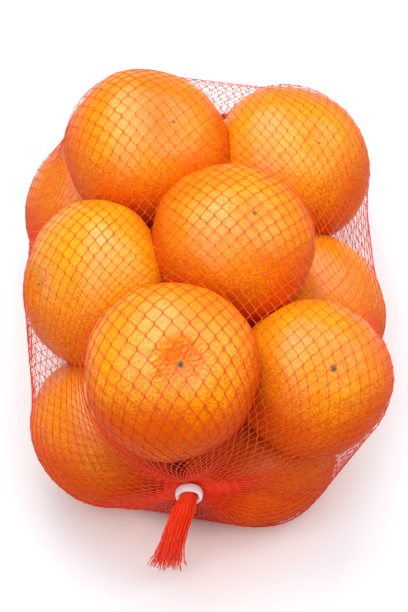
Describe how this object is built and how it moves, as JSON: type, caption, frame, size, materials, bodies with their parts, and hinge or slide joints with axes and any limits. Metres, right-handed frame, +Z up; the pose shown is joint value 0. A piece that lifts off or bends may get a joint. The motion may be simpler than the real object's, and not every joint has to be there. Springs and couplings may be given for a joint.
{
  "type": "net of mandarins",
  "caption": "Net of mandarins lying on its side: whole fruits in a red knitted plastic net, gathered through a white plastic ring at each end, with a short frayed tail of net.",
  "frame": {"origin": "on the surface that the net lies on, under the middle of its box", "axes": "+Z up, +Y along the net from the end with the shown ring to the hidden end, +X to the right as seen from the shown end"},
  "size_m": [0.1473, 0.2258, 0.1172],
  "materials": {
    "peel": "waxy pebbled mandarin peel, semi-matt",
    "net": "fine red knitted plastic strands, slightly shiny",
    "ring": "milky white moulded plastic"
  },
  "bodies": {
    "root": {"net_bag": "peel", "ring_front": "ring", "ring_back": "ring"}
  },
  "joints": []
}
